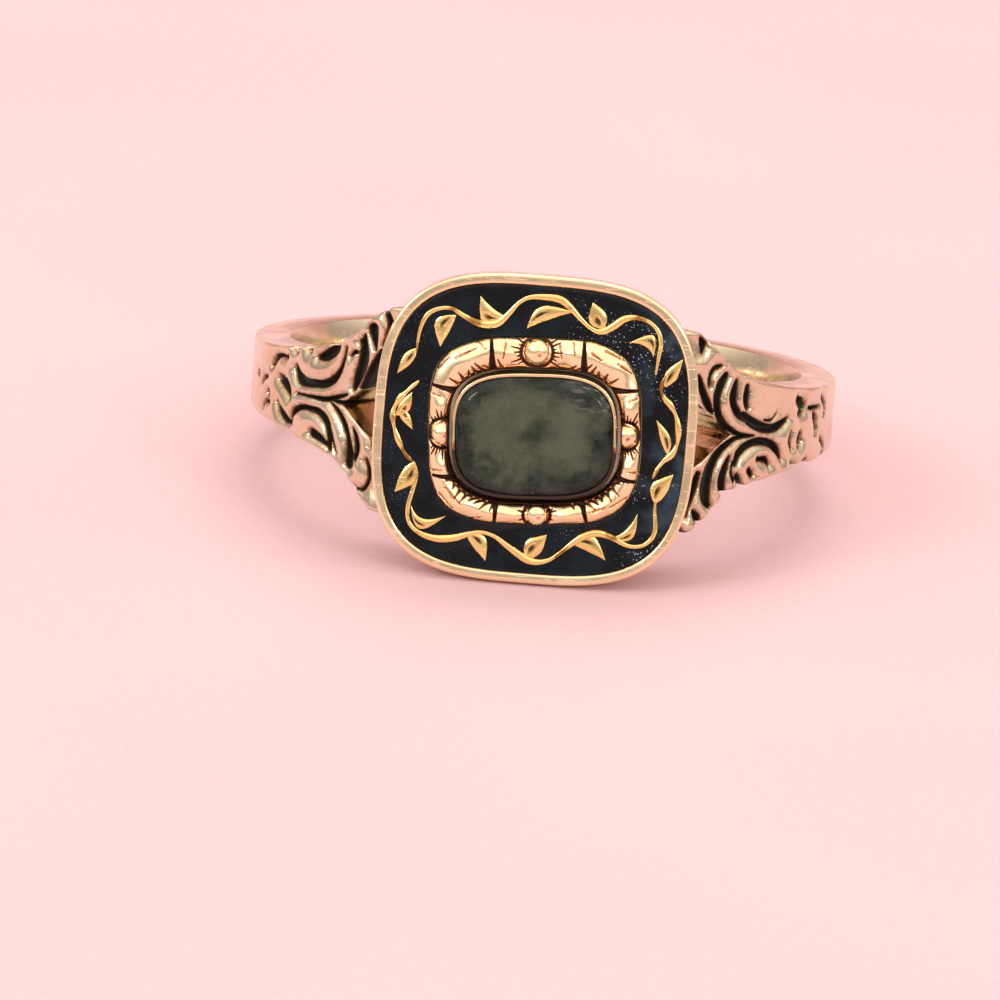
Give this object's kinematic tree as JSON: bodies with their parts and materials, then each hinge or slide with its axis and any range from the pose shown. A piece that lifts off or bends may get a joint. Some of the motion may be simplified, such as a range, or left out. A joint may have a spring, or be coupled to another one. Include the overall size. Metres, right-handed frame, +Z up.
{
  "type": "mourning ring",
  "caption": "Gold mourning ring with chased split shoulders and a cushion head: black enamel border with gold scroll round a glazed hair compartment.",
  "frame": {"origin": "on the surface that the ring lies on, below the middle of its bounding box", "axes": "+Z up, the head faces -Y and a little up, the finger hole runs near +Z"},
  "size_m": [0.02, 0.0218, 0.0102],
  "materials": {
    "gold": "rose gold, polished on the high spots, oxidised in the chasing",
    "enamel": "glossy black vitreous enamel",
    "frame_gold": "polished rose gold with dark chased lines",
    "crystal": "old clear glass with fine scratches",
    "hair": "plaited hair, matt, grey brown and green"
  },
  "bodies": {
    "root": {"hoop": "gold", "enamel_border": "enamel", "chased_frame": "frame_gold", "collet": "frame_gold", "crystal": "crystal", "hair_panel": "hair"}
  },
  "joints": []
}
